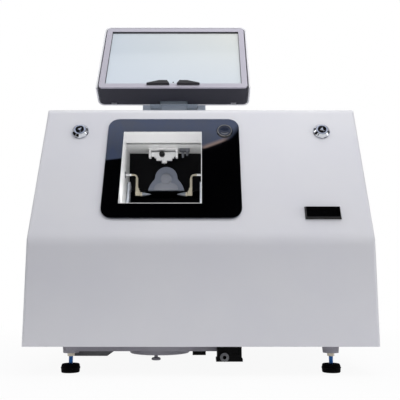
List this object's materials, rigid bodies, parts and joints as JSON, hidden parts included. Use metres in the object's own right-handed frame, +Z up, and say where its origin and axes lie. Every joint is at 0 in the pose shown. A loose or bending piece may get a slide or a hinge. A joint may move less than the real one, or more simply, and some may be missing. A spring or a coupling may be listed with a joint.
{
  "type": "optical lens edger",
  "caption": "Bench-top lens edger: white case with a sloping front, window onto the wheel chamber, tilting touch screen, cover locks, code reader and levelling feet.",
  "frame": {"origin": "on the floor under the middle of the case, at the bottom of the levelling feet", "axes": "+X to the right as seen from the front, +Y to the back, +Z up"},
  "size_m": [0.7, 0.6, 0.8568],
  "materials": {
    "case_paint": "gloss white lacquer over moulded covers",
    "display_white": "gloss white moulding",
    "window_white": "white moulding",
    "fascia_black": "high gloss black",
    "reader_black": "gloss black",
    "shutter_clear": "clear sheet",
    "screen": "lit screen under glass",
    "bezel_grey": "fine matt, lilac grey",
    "chin_dark": "fine matt, blue black",
    "clip_black": "matt black",
    "neck_steel": "steel grey lacquer",
    "chrome": "polished chrome",
    "button_blue": "dark blue grey, dished",
    "cast_grey": "sand cast, machined on its edges",
    "panel_steel": "galvanised sheet",
    "chassis_steel": "grey primer",
    "liner_white": "satin white moulding",
    "housing_black": "wet black moulding",
    "guard_grey": "blue grey moulding",
    "steel": "ground steel",
    "abrasive_grey": "sintered diamond",
    "abrasive_bronze": "bronze bond",
    "motor_paint": "black enamel",
    "belt_rubber": "matt rubber",
    "yoke_blue": "silver blue lacquer",
    "feeler_gold": "satin",
    "tool_white": "satin white",
    "nozzle_grey": "satin grey",
    "black_plastic": "moulded black",
    "pipe_grey": "grey pipe",
    "foot_rubber": "moulded rubber on a zinc stud",
    "nut_zinc": "yellow zinc",
    "gear_brass": "cut brass",
    "rack_plastic": "acetal"
  },
  "bodies": {
    "root": {"base_plate": "cast_grey", "front_cover": "case_paint", "rear_hood": "case_paint", "rear_panel": "panel_steel", "fascia": "fascia_black", "window_frame": "window_white", "display_neck": "neck_steel", "tilt_pin": "steel", "button_ring": "chrome", "lock_escutcheons": "chrome", "reader_bezel": "reader_black", "reader_window": "reader_black", "shutter_rails": "panel_steel", "shutter_motor": "motor_paint", "chassis": "chassis_steel", "chamber_liner": "liner_white", "wheel_housing": "housing_black", "wheel_guard": "guard_grey", "spindle_bearings": "steel", "spindle_motor": "motor_paint", "drive_belt": "belt_rubber", "feeler_guides": "nozzle_grey", "drill_bracket": "tool_white", "spray_nozzle": "nozzle_grey", "water_valve": "black_plastic", "drain_pipe": "pipe_grey", "sump_cover": "cast_grey", "drip_tray": "pipe_grey", "power_supply": "panel_steel", "inlet_module": "black_plastic", "jam_nuts": "nut_zinc"},
    "display": {"display_shell": "display_white", "display_chin": "chin_dark", "display_bezel": "bezel_grey", "screen_glass": "screen", "rest_clips": "clip_black"},
    "start_button": {"start_button": "button_blue"},
    "lock_left": {"lock_core_left": "chrome"},
    "lock_right": {"lock_core_right": "chrome"},
    "shutter": {"shutter_panel": "shutter_clear", "shutter_rack": "rack_plastic"},
    "shutter_drive": {"shutter_pinion": "gear_brass"},
    "spindle": {"spindle_shaft": "steel", "roughing_wheel": "abrasive_grey", "finishing_wheel": "abrasive_bronze", "spindle_pulley": "cast_grey"},
    "motor_rotor": {"motor_pulley": "cast_grey"},
    "carriage": {"carriage_yoke": "yoke_blue"},
    "left_chuck": {"left_chuck": "steel"},
    "quill": {"clamp_quill": "steel"},
    "right_chuck": {"right_chuck": "steel"},
    "feeler_left": {"feeler_left": "feeler_gold"},
    "feeler_right": {"feeler_right": "feeler_gold"},
    "drill_arm": {"drill_arm": "tool_white"},
    "drill_spindle": {"drill_spindle": "steel"},
    "power_switch": {"power_switch": "black_plastic"},
    "foot_front_left": {"foot_front_left": "foot_rubber"},
    "foot_front_right": {"foot_front_right": "foot_rubber"},
    "foot_rear_left": {"foot_rear_left": "foot_rubber"},
    "foot_rear_right": {"foot_rear_right": "foot_rubber"}
  },
  "joints": [
    {"name": "display_tilt", "type": "hinge", "parent": "root", "child": "display", "pos_m": [-0.067, -0.052, 0.622], "axis": [1, 0, 0], "range_deg": [-20, 15]},
    {"name": "start_button_press", "type": "slide", "parent": "root", "child": "start_button", "axis": [0, 0.9323, -0.3616], "range_m": [0, 0.003], "stiffness_N_per_m": 600, "springref_m": -0.002},
    {"name": "lock_left_turn", "type": "hinge", "parent": "root", "child": "lock_left", "pos_m": [-0.269, -0.20381, 0.515], "axis": [0, -0.9323, 0.3616], "range_deg": [0, 90]},
    {"name": "lock_right_turn", "type": "hinge", "parent": "root", "child": "lock_right", "pos_m": [0.269, -0.20381, 0.515], "axis": [0, -0.9323, 0.3616], "range_deg": [0, 90]},
    {"name": "shutter_slide", "type": "slide", "parent": "root", "child": "shutter", "axis": [-1, 0, 0], "range_m": [0, 0.184]},
    {"name": "shutter_pinion_spin", "type": "hinge", "parent": "root", "child": "shutter_drive", "pos_m": [0.0075, -0.24329, 0.3026], "axis": [0, -0.9323, 0.3616], "range_deg": [-10, 1065]},
    {"name": "spindle_spin", "type": "hinge", "parent": "root", "child": "spindle", "pos_m": [-0.0845, -0.045, 0.3], "axis": [1, 0, 0], "continuous": true},
    {"name": "motor_spin", "type": "hinge", "parent": "root", "child": "motor_rotor", "pos_m": [0.06, 0.1, 0.16], "axis": [1, 0, 0], "continuous": true},
    {"name": "carriage_swing", "type": "hinge", "parent": "root", "child": "carriage", "pos_m": [-0.0845, -0.11, 0.404], "axis": [1, 0, 0], "range_deg": [0, 18]},
    {"name": "left_chuck_spin", "type": "hinge", "parent": "carriage", "child": "left_chuck", "pos_m": [-0.11, -0.145, 0.325], "axis": [1, 0, 0], "continuous": true},
    {"name": "lens_clamp", "type": "slide", "parent": "carriage", "child": "quill", "axis": [-1, 0, 0], "range_m": [0, 0.03]},
    {"name": "right_chuck_spin", "type": "hinge", "parent": "quill", "child": "right_chuck", "pos_m": [-0.05, -0.145, 0.325], "axis": [1, 0, 0], "continuous": true},
    {"name": "feeler_left_slide", "type": "slide", "parent": "root", "child": "feeler_left", "axis": [1, 0, 0], "range_m": [0, 0.025]},
    {"name": "feeler_right_slide", "type": "slide", "parent": "root", "child": "feeler_right", "axis": [-1, 0, 0], "range_m": [0, 0.025]},
    {"name": "drill_swing", "type": "hinge", "parent": "root", "child": "drill_arm", "pos_m": [-0.0885, -0.12, 0.4835], "axis": [1, 0, 0], "range_deg": [-15, 35]},
    {"name": "drill_spin", "type": "hinge", "parent": "drill_arm", "child": "drill_spindle", "pos_m": [-0.0865, -0.12, 0.47], "axis": [0, 0, 1], "continuous": true},
    {"name": "power_switch_rock", "type": "hinge", "parent": "root", "child": "power_switch", "pos_m": [0.24, 0.2648, 0.164], "axis": [1, 0, 0], "range_deg": [0, 12]},
    {"name": "foot_front_left_turn", "type": "hinge", "parent": "root", "child": "foot_front_left", "pos_m": [-0.267, -0.23, 0.03], "axis": [0, 0, 1], "continuous": true},
    {"name": "foot_front_right_turn", "type": "hinge", "parent": "root", "child": "foot_front_right", "pos_m": [0.267, -0.23, 0.03], "axis": [0, 0, 1], "continuous": true},
    {"name": "foot_rear_left_turn", "type": "hinge", "parent": "root", "child": "foot_rear_left", "pos_m": [-0.095, 0.23, 0.03], "axis": [0, 0, 1], "continuous": true},
    {"name": "foot_rear_right_turn", "type": "hinge", "parent": "root", "child": "foot_rear_right", "pos_m": [0.095, 0.23, 0.03], "axis": [0, 0, 1], "continuous": true}
  ],
  "couplings": [
    {"joint": "shutter_pinion_spin", "follows": "shutter_slide", "rad_per_m": 100},
    {"joint": "motor_spin", "follows": "spindle_spin", "ratio": 0.6575},
    {"joint": "right_chuck_spin", "follows": "left_chuck_spin", "ratio": 1}
  ]
}
